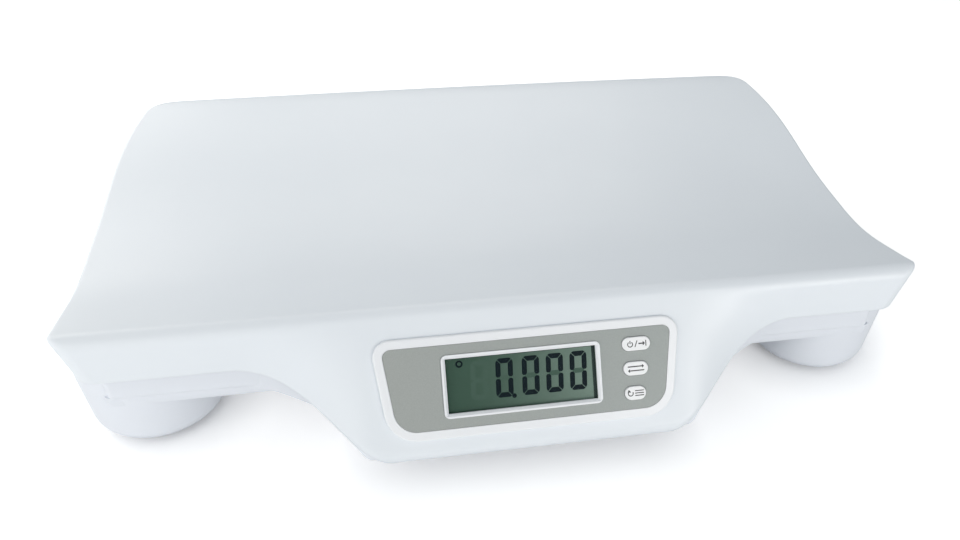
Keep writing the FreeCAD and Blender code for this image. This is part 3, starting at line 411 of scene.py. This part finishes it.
def lowerEdge(t, x):
    # height of the housing's lower edge: the chin in the middle, an S-curve up to the apron at the sides
    drop, span = t["skirt"] - t["chin"], t["blendHalf"] - t["faceHalf"]
    steps = np.array(t["edgePoints"])
    knotX = t["faceHalf"] + steps[:, 0] * span
    knotZ = t["chin"] + steps[:, 1] * drop
    slopes = clampedSlopes(knotX, knotZ, 0.0, t["edgeSlope"])
    across = np.abs(x - t["middle"])
    z = hermite(knotX, knotZ, slopes, across)
    return np.where(across < knotX[0], t["chin"], np.where(across > knotX[-1], t["skirt"], z))


def traySurface(t):
    # rows run from the spine of the cradle out to the rim, over the roll, down the apron or the display
    # face and round its lower edge; columns run round the outline
    flat, outward = trayOutline(t, 0.0)
    total = len(flat)
    front = outward[:, 1] < -0.9999
    alongRim = np.abs(outward[:, 1]) > 0.999
    sideways = smoothStep((np.abs(outward[:, 0]) - 0.15) / 0.75)  # 0 along the rims, 1 at the ends
    plainRoll = np.where(outward[:, 1] < 0.0, t["roll"], t["backRoll"])
    roll = plainRoll + (t["endRoll"] - plainRoll) * sideways

    # the ends lean in towards the skirt, and the rims follow them from leanFrom on
    onEnd = smoothStep((np.abs(flat[:, 0]) - t["leanFrom"]) / (np.abs(flat[front, 0]).max() - t["leanFrom"]))
    towardMiddle = -np.sign(flat[:, 0]) * np.where(alongRim, onEnd, 1.0)
    rimLean = endLean(t, cradleHeight(t, flat[:, 1] - outward[:, 1] * roll))
    topShift = np.stack([towardMiddle * rimLean, np.zeros(total)], axis=1)

    # cradle: from the spine to a ring just inside the rim, then on to the start of the roll
    ring = trayOutline(t, t["edgeZone"])[0] + topShift
    lineSpan = np.abs(ring[front, 0]).max()
    endShare = np.clip(1.0 - np.abs(ring[:, 1]) / (t["rimReach"] - t["edgeZone"]), 0.0, 1.0)
    endSpine = np.sign(ring[:, 0]) * (t["spineHalf"] + (t["spineEnd"] - t["spineHalf"]) * endShare)
    spineX = np.where(alongRim, ring[:, 0] * t["spineHalf"] / lineSpan, endSpine)
    spine = np.stack([np.clip(spineX, -t["spineEnd"], t["spineEnd"]), np.zeros(total)], axis=1)
    rows = []
    for share in np.linspace(0.0, 1.0, t["cradleRows"]):
        p = spine + (ring - spine) * share
        rows.append(np.column_stack([p, cradleHeight(t, p[:, 1])]))
    for share in np.linspace(0.0, 1.0, t["edgeRows"])[1:]:
        inset = t["edgeZone"] + (roll - t["edgeZone"]) * share
        p = flat - outward * inset[:, None] + topShift
        rows.append(np.column_stack([p, cradleHeight(t, p[:, 1])]))

    across = np.abs(flat[:, 0] - t["middle"])
    swell = 1.0 - smoothStep((across - t["faceHalf"]) / (t["blendHalf"] - t["faceHalf"]))
    bulge = np.where(front, swell, 0.0)
    slopeY = 1.0 / math.tan(faceTilt)
    planeTop = t["frontRim"] - t["roll"] + t["roll"] * math.cos(faceTilt)
    planeY = -(t["rimReach"] - t["roll"]) - t["roll"] * math.sin(faceTilt)

    def bulged(p, z):
        # at one height, part of the way from the apron out to the sloping face
        reach = planeY - (planeTop - z) * slopeY
        y = np.where(z < planeTop, p[:, 1] + bulge * (reach - p[:, 1]), p[:, 1])
        return np.column_stack([p[:, 0] + towardMiddle * endLean(t, z), y, z])

    # roll of the rim, a quarter turn
    for angle in np.radians(np.linspace(0.0, 90.0, t["rollRows"])[1:]):
        p = flat - outward * (roll * (1.0 - math.sin(angle)))[:, None]
        rows.append(bulged(p, cradleHeight(t, p[:, 1]) - roll * (1.0 - math.cos(angle))))

    # apron or display face, with rows at the upper and lower side of the opening
    edge = np.where(front, lowerEdge(t, flat[:, 0]), t["skirt"])
    wallAngle = np.arctan2(1.0, bulge * slopeY)
    plain = t["apronRound"] + (t["endRound"] - t["apronRound"]) * sideways
    chinShare = np.where(front, 1.0 - smoothStep((across - t["chinHalf"]) / t["chinFade"]), 0.0)
    lowRound = plain + (t["chinRound"] - plain) * chinShare
    topZ = rows[-1][:, 2]
    lowZ = edge + lowRound * (1.0 + np.cos(wallAngle))

    def frontColumn(x):
        return int(np.argmin(np.abs(flat[:, 0] - x) + 1e3 * ~front))

    centreColumn = frontColumn(0.0)
    marks = [0.0]
    for way in (1.0, -1.0):
        z = plaqueCentre[2] + way * t["holeReach"] * faceUp[2]
        marks.append((topZ[centreColumn] - z) / (topZ[centreColumn] - lowZ[centreColumn]))
    marks.append(1.0)
    shares = np.concatenate([np.linspace(a, b, n)[1:] for a, b, n in zip(marks, marks[1:], t["faceRows"])])
    firstApron = len(rows)
    for share in shares:
        rows.append(bulged(flat, topZ + (lowZ - topZ) * share))

    # round of the lower edge, from the slope of the wall above it to straight down inside
    base = bulged(flat, edge)
    frontCentre = np.stack([base[:, 0], base[:, 1] + lowRound / np.tan(0.5 * wallAngle)], axis=1)
    sideCentre = np.stack([base[:, 0], flat[:, 1]], axis=1) - outward * lowRound[:, None]
    centre = np.where(front[:, None], frontCentre, sideCentre)
    direction = np.where(front[:, None], np.array([0.0, -1.0]), outward)
    for share in np.linspace(0.0, 1.0, t["lowerRows"])[1:]:
        angle = wallAngle + (math.pi - wallAngle) * share
        p = centre + direction * (lowRound * np.sin(angle))[:, None]
        rows.append(np.column_stack([p, edge + lowRound + lowRound * np.cos(angle)]))
    grid = np.stack(rows)

    # the columns beside the opening lean as its sides do
    upFace = (grid[..., 2] - plaqueCentre[2]) / faceUp[2]
    reach, middle = t["holeReach"], t["middle"]
    fade = np.interp(upFace, [t["leanLow"], -reach, reach, t["leanHigh"]], [0.0, 1.0, 1.0, 0.0])
    left, right = middle - t["holeHalf"], middle + t["holeHalf"]
    places = [middle - t["faceHalf"], left, middle, right, middle + t["faceHalf"]]
    pull = np.interp(grid[..., 0], places, [0.0, -1.0, 0.0, 1.0, 0.0])
    onFront = front[None, :] & (np.arange(len(rows)) > firstApron - t["rollRows"])[:, None]
    grid[..., 0] += np.where(onFront, t["holeLean"] * np.clip(upFace, -reach, reach) * fade * pull, 0.0)

    thick = np.full(grid.shape[:2], t["wall"])
    thick[firstApron + len(shares):] = np.minimum(t["wall"], lowRound)
    holeTop = firstApron + t["faceRows"][0] - 2
    return grid, thick, (holeTop, holeTop + t["faceRows"][1] - 1), (frontColumn(left), frontColumn(right))


def gridNormals(grid):
    # outward direction at each grid point, across its neighbours round and along the rows
    around = np.roll(grid, -1, axis=1) - np.roll(grid, 1, axis=1)
    along = np.gradient(grid, axis=0)
    normal = np.cross(along, around)
    return normal / np.maximum(np.linalg.norm(normal, axis=-1, keepdims=True), 1e-9)


def buildTray(t):
    # outer surface and, one wall in along its normals, the inner one; strips join them round the lower edge
    # and round the opening behind the display
    middle = t["middle"]
    halves = np.array([t["blendHalf"], t["faceHalf"], t["holeHalf"]])
    stops = [-t["frontHalf"], *(middle - halves), *(middle + halves[::-1]), t["frontHalf"]]
    runs = [np.linspace(a, b, n + 1)[:-1] for a, b, n in zip(stops, stops[1:], t["frontColumns"])]
    t["columns"] = np.concatenate(runs + [[t["frontHalf"]]])
    outer, thick, holeRows, holeColumns = traySurface(t)
    inner = outer - gridNormals(outer) * thick[..., None]
    rows, columns = outer.shape[:2]
    start = rows * columns
    outerFaces = gridFaces(rows, columns, True)
    innerFaces = gridFaces(rows, columns, True, start, True)
    r, c = np.divmod(np.arange((rows - 1) * columns), columns)
    open_ = (r >= holeRows[0]) & (r < holeRows[1]) & (c >= holeColumns[0]) & (c < holeColumns[1])
    lip = (rows - 1) * columns + np.arange(columns)
    nextLip = (rows - 1) * columns + (np.arange(columns) + 1) % columns
    lipFaces = np.stack([start + lip, start + nextLip, nextLip, lip], axis=1)
    cs = np.arange(*holeColumns)
    rs = np.arange(*holeRows)
    top = np.stack([holeRows[0] * columns + cs, holeRows[0] * columns + cs + 1], axis=1)
    low = np.stack([holeRows[1] * columns + cs + 1, holeRows[1] * columns + cs], axis=1)
    leftSide = np.stack([(rs + 1) * columns + holeColumns[0], rs * columns + holeColumns[0]], axis=1)
    rightSide = np.stack([rs * columns + holeColumns[1], (rs + 1) * columns + holeColumns[1]], axis=1)
    rim = np.concatenate([top, low, leftSide, rightSide])
    holeFaces = np.stack([rim[:, 0] + start, rim[:, 1] + start, rim[:, 1], rim[:, 0]], axis=1)
    points = np.concatenate([outer.reshape(-1, 3), inner.reshape(-1, 3)])
    faces = np.concatenate([outerFaces[~open_], innerFaces[~open_], lipFaces, holeFaces])
    points, faces = weld(points, faces)
    return makePiece("cradle_tray", toRow(points), faces, trayWhite, "housing", 40.0)


cradleTray = buildTray(tray)
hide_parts("tray_shell")
print("cradle tray:", len(cradleTray.data.polygons), "faces")


# ---- rim under the base ----
def buildBaseRim():
    # closed band round the underside of the lower housing: its section runs down outside, in below and up
    # inside, and follows the tray's outline set in by a distance
    b = dict(inset=10.2, lean=9.0, top=52.0, low=44.0, edge=0.9, thick=4.0)
    soft = 0.3 * b["edge"]
    section = [(0.0, b["top"]), (0.0, b["low"] + b["edge"]), (soft, b["low"] + soft), (b["edge"], b["low"]),
               (b["thick"], b["low"]), (b["thick"], b["top"]), (0.0, b["top"])]
    rings = []
    for step, z in section:
        flat, outward = trayOutline(tray, b["inset"] + step)
        reach = np.abs(flat[:, 0]).max()
        x = flat[:, 0] * (reach - b["lean"]) / reach
        rings.append(np.column_stack([x, flat[:, 1], np.full(len(flat), z)]))
    grid = np.stack(rings)
    points, faces = weld(grid.reshape(-1, 3), gridFaces(len(section), grid.shape[1], True))
    return makePiece("base_rim", toRow(points), faces, baseWhite, "housing", 35.0)


buildBaseRim()
print("base rim built")


# ---- display contents and key symbols ----
def facePlates(name, outlines, low, high, material, body):
    # thin flat plates standing on the display face between two depths, one for each outline
    points, faces, start = [], [], 0
    for outline in outlines:
        flat = np.asarray(outline, float)
        n = len(flat)
        if (flat[:, 0] * np.roll(flat[:, 1], -1) - np.roll(flat[:, 0], -1) * flat[:, 1]).sum() < 0.0:
            flat = flat[::-1]
        for depth in (high, low):
            points.append(np.column_stack([flat, np.full(n, depth)]))
        faces += [list(range(start, start + n)), list(range(start + 2 * n - 1, start + n - 1, -1))]
        k = start + np.arange(n)
        following = start + (np.arange(n) + 1) % n
        faces += np.stack([k, n + k, n + following, following], axis=1).tolist()
        start += 2 * n
    return makePiece(name, toRow(onFace(np.concatenate(points))), faces, material, body, smooth=False)


def arcBand(x, y, inner, outer, first, last, count=20):
    # part of a flat ring between two angles in degrees
    a = np.radians(np.linspace(first, last, count))
    ring = np.stack([np.cos(a), np.sin(a)], axis=1)
    return np.array([x, y]) + np.concatenate([ring * outer, ring[::-1] * inner])


def segmentShapes(d):
    # outlines of the bars of one figure: rounded outer corners, mitred joints, pointed ends at mid height
    w, h, bar, r, gap = 0.5 * d["width"], 0.5 * d["height"], d["bar"], d["corner"], d["gap"]
    shift = 0.5 * gap
    a = np.radians(np.linspace(135.0, 90.0, 7))
    arc = np.stack([-w + r + r * np.cos(a), h - r + r * np.sin(a)], axis=1)
    mirrored = (arc * [-1, 1] + [-shift, shift * 0.4])[::-1]
    inner = w - bar - shift
    top = np.concatenate([[(-inner, h - bar)], arc + [shift, shift * 0.4], mirrored, [(inner, h - bar)]])
    top[:, 1] = np.minimum(top[:, 1], h)
    b = np.radians(np.linspace(135.0, 180.0, 7))
    side = np.stack([-w + r + r * np.cos(b), h - r + r * np.sin(b)], axis=1)
    low = d["tipRise"] + gap
    tip = [(-w, low), (-w + d["tipIn"], gap), (-w + bar - d["tipRise"], gap), (-w + bar, low + d["tipStep"])]
    upper = np.concatenate([[(-w + bar, h - bar - shift)], side - [0.0, shift], tip])
    x, point, half = w - bar - d["waistGap"], w - d["waistTip"], 0.5 * bar
    middle = np.array([(-x, half), (x, half), (point, 0.0), (x, -half), (-x, -half), (-point, 0.0)])
    outer = [top, top * [1, -1], upper, upper * [-1, 1], upper * [1, -1], upper * [-1, -1]]
    return outer, [middle]


def buildDisplay():
    # four figures, a point and a small ring in dark bars, and the same bars faintly where none is lit
    d = dict(width=11.4, height=25.6, bar=3.3, corner=3.0, gap=0.5, tipRise=0.9, tipIn=0.8, tipStep=0.3,
             waistGap=0.4, waistTip=1.5, lean=0.035, middle=1.75, places=(-17.3, 0.0, 15.9, 31.7),
             ghostPlace=-33.6, dot=(-11.6, -10.6, 1.5), ring=(-46.0, 13.4, 1.2, 2.35), low=-1.18, high=-1.15)
    bars, waist = segmentShapes(d)

    def placed(shape, x):
        return np.stack([shape[:, 0] + x + d["lean"] * shape[:, 1], shape[:, 1] + d["middle"]], axis=1)

    x, y, radius = d["dot"]
    lit = [placed(shape, place) for place in d["places"] for shape in bars]
    lit.append(arcBand(x, y, 0.0, radius, 0.0, 345.0, 24)[:24])
    lit += [arcBand(*d["ring"], first, first + 180.0) for first in (0.0, 180.0)]
    facePlates("display_figures", lit, d["low"], d["high"], segmentInk, "housing")
    idle = [placed(shape, place) for place in d["places"] for shape in waist]
    idle += [placed(shape, d["ghostPlace"]) for shape in bars + waist]
    facePlates("display_idle_bars", idle, d["low"], d["high"] - 0.01, idleInk, "housing")


def buildRecessShade():
    # painted shade: dark strips laid on the display glass inside the window frame, where the recess wall lies
    # in shade, widest on the side of the keys
    g = dict(left=-55.05, right=43.45, half=17.7, wide=2.3, top=0.75, thin=0.35, low=-1.19, high=-1.1)
    x0, x1, h = g["left"], g["right"], g["half"]
    bands = [block(x1 - g["wide"], x1, -h, h), block(x0, x1 - g["wide"], h - g["top"], h),
             block(x0, x0 + g["thin"], -h, h - g["top"])]
    facePlates("display_recess_shade", bands, g["low"], g["high"], recessShadeInk, "housing")


def arrow(x, y, length, way, head=1.5, bar=0.42):
    # flat arrow along x, its middle at (x, y)
    half, neck = 0.5 * length, 0.5 * length - head
    shape = [(-half, bar), (-half, -bar), (neck, -bar), (neck, -head), (half, 0.0), (neck, head), (neck, bar)]
    return np.array(shape) * [way, 1.0] + [x, y]


def block(x0, x1, y0, y1):
    return np.array([(x0, y0), (x1, y0), (x1, y1), (x0, y1)])


def buildSymbols():
    # plain symbols printed on the keys, drawn about each key's middle: a switch mark and an arrow to a stop,
    # two opposite arrows, a turning arrow and three lines
    k = dict(power=(70.6, 16.3), units=(69.4, 0.0), memory=(68.2, -16.3), low=3.5, high=3.54,
             ring=(1.35, 1.95), stroke=0.6, lineStep=1.6)
    s = 0.5 * k["stroke"]
    switch = [arcBand(-4.2, -0.2, *k["ring"], 125.0, 415.0, 30), block(-4.2 - s, -4.2 + s, 0.1, 2.2)]
    slash = np.array([(-1.3, -2.1), (-0.7, -2.1), (0.9, 2.1), (0.3, 2.1)])
    head = np.array([(-5.5, 0.9), (-3.0, 0.7), (-4.6, 2.5)])
    turn = [arcBand(-3.4, 0.0, *k["ring"], 120.0, 390.0, 28), head]
    lines = [block(-0.4, 5.6, row * k["lineStep"] - s, row * k["lineStep"] + s) for row in (1, 0, -1)]
    shapes = dict(power=switch + [slash, arrow(3.7, 0.0, 4.4, 1.0), block(6.5 - s, 6.5 + s, -1.9, 1.9)],
                  units=[arrow(0.0, 1.35, 11.0, 1.0, 1.25, 0.36), arrow(0.0, -1.35, 11.0, -1.0, 1.25, 0.36)],
                  memory=turn + lines)
    for key, drawn in shapes.items():
        placed = [shape + k[key] for shape in drawn]
        facePlates("symbol_" + key, placed, k["low"], k["high"], symbolInk, key + "_key")


buildDisplay()
buildRecessShade()
buildSymbols()
print("display figures and key symbols placed")


# ---- floor, lamps and camera ----
studio = dict(
    # floor: ring radii in metres, colours, glow that the camera sees, and how near a piece takes it away as
    # painted contact shade
    floorRings=(0.0, 0.5, 1.5, 3.0, 6.0), floorColours=("#F4F5F7", "#F5F6F8"), cameraLift=0.5,
    contactShadeReach=0.035, worldStrength=0.35, worldTint=(0.93, 1.0, 1.05, 1.0), lampTint=(1.0, 0.96, 0.905),
    aim=(0.0, 0.0, 0.05),
    # name, watts, place and diameter in metres
    lamps=(("leftLamp", 2.8, (-1.0, -0.05, 0.45), 1.1), ("rearLeftLamp", 4.6, (-0.8, 0.7, 0.6), 0.9),
           ("overheadLamp", 3.4, (0.1, 0.75, 0.95), 0.9), ("frontRightLamp", 10.4, (0.9, -1.5, 0.35), 0.8),
           ("frontLeftLamp", 13.8, (-1.3, -1.4, 0.8), 2.0)),
)


def whiteFloor(s):
    # matt paper that is pure white to the camera where nothing shades it; near a piece the glow is taken
    # away, a painted contact shadow
    material, tree, shader, place = startMaterial("floorPaper")
    fibre = noiseOf(tree, place, 2.5)
    tree.links.new(toneBetween(tree, fibre, s["floorColours"]), shader.inputs["Base Color"])
    shader.inputs["Roughness"].default_value = 0.9
    shader.inputs["Specular IOR Level"].default_value = 0.0
    camera = addNode(tree, "ShaderNodeLightPath").outputs["Is Camera Ray"]
    # ambient occlusion dims the camera-only glow close to pieces: painted contact shadow on the floor
    contact = addNode(tree, "ShaderNodeAmbientOcclusion", {"Distance": s["contactShadeReach"]}, samples=8)
    open_ = contact.outputs["AO"]
    lift = addNode(tree, "ShaderNodeMath", {0: open_, 1: s["cameraLift"]}, operation="MULTIPLY")
    seen = addNode(tree, "ShaderNodeMath", {0: camera, 1: lift.outputs[0]}, operation="MULTIPLY")
    shader.inputs["Emission Color"].default_value = (1.0, 1.0, 1.0, 1.0)
    tree.links.new(seen.outputs[0], shader.inputs["Emission Strength"])
    return material


def makeFloor(s):
    # round sheet on z = 0, in rings about the middle
    around = np.linspace(0.0, 2.0 * math.pi, 65)[:-1]
    radii = np.array(s["floorRings"])[:, None]
    level = np.zeros((len(radii), len(around)))
    rings = np.stack([radii * np.cos(around), radii * np.sin(around), level], axis=-1)
    points, faces = weld(rings.reshape(-1, 3), gridFaces(len(radii), len(around), True))
    mesh = bpy.data.meshes.new("studio_floor")
    mesh.from_pydata(points.tolist(), [], faces)
    floor = bpy.data.objects.new("studio_floor", mesh)
    bpy.context.scene.collection.objects.link(floor)
    mesh.materials.append(whiteFloor(s))


def makeLamps(s):
    for name, power, place, size in s["lamps"]:
        lamp = bpy.data.lights.new(name, "AREA")
        lamp.shape, lamp.size, lamp.energy, lamp.color = "DISK", size, power, s["lampTint"]
        holder = bpy.data.objects.new(name, lamp)
        holder.location = place
        holder.rotation_mode = "QUATERNION"
        holder.rotation_quaternion = (Vector(s["aim"]) - Vector(place)).to_track_quat("-Z", "Y")
        bpy.context.scene.collection.objects.link(holder)


def makeWorld(s):
    # even light from all round, and plain white where the camera sees it, also through the window
    world = bpy.data.worlds.new("softRoom")
    world.use_nodes = True
    tree = world.node_tree
    tree.nodes.clear()
    path = addNode(tree, "ShaderNodeLightPath").outputs
    both = {0: path["Is Camera Ray"], 1: path["Is Transmission Ray"]}
    seen = addNode(tree, "ShaderNodeMath", both, operation="MAXIMUM").outputs[0]
    level = addNode(tree, "ShaderNodeMapRange", {"Value": seen, "To Min": s["worldStrength"], "To Max": 1.0})
    tint = addNode(tree, "ShaderNodeMix", {"Factor": seen}, data_type="RGBA")
    tint.inputs[6].default_value = s["worldTint"]
    tint.inputs[7].default_value = (1.0, 1.0, 1.0, 1.0)
    light = {"Color": tint.outputs[2], "Strength": level.outputs["Result"]}
    back = addNode(tree, "ShaderNodeBackground", light)
    output = addNode(tree, "ShaderNodeOutputWorld")
    tree.links.new(back.outputs["Background"], output.inputs["Surface"])
    bpy.context.scene.world = world


def makeCamera():
    # lens, place and turn of the camera that sees the part from the front left and above
    settings = dict(lens=30.0, sensor=36.0, place=(-0.0736, -0.53213, 0.4371), shiftX=-0.038, shiftY=-0.001,
                    down=(-0.0801, -0.5995, -0.7964), forward=(0.146, 0.7833, -0.6043))
    data = bpy.data.cameras.new("camera")
    data.sensor_width = settings["sensor"]
    data.lens = settings["lens"]
    data.shift_x, data.shift_y = settings["shiftX"], settings["shiftY"]
    camera = bpy.data.objects.new("camera", data)
    forward = Vector(settings["forward"]).normalized()
    down = Vector(settings["down"])
    down = (down - forward * down.dot(forward)).normalized()
    right = down.cross(forward).normalized()
    turn = Matrix((right, -down, -forward)).transposed()
    camera.matrix_world = Matrix.Translation(Vector(settings["place"])) @ turn.to_4x4()
    bpy.context.scene.collection.objects.link(camera)
    bpy.context.scene.camera = camera


makeFloor(studio)
makeLamps(studio)
makeWorld(studio)
makeCamera()
bpy.context.scene.view_settings.view_transform = "Standard"
print("studio ready")
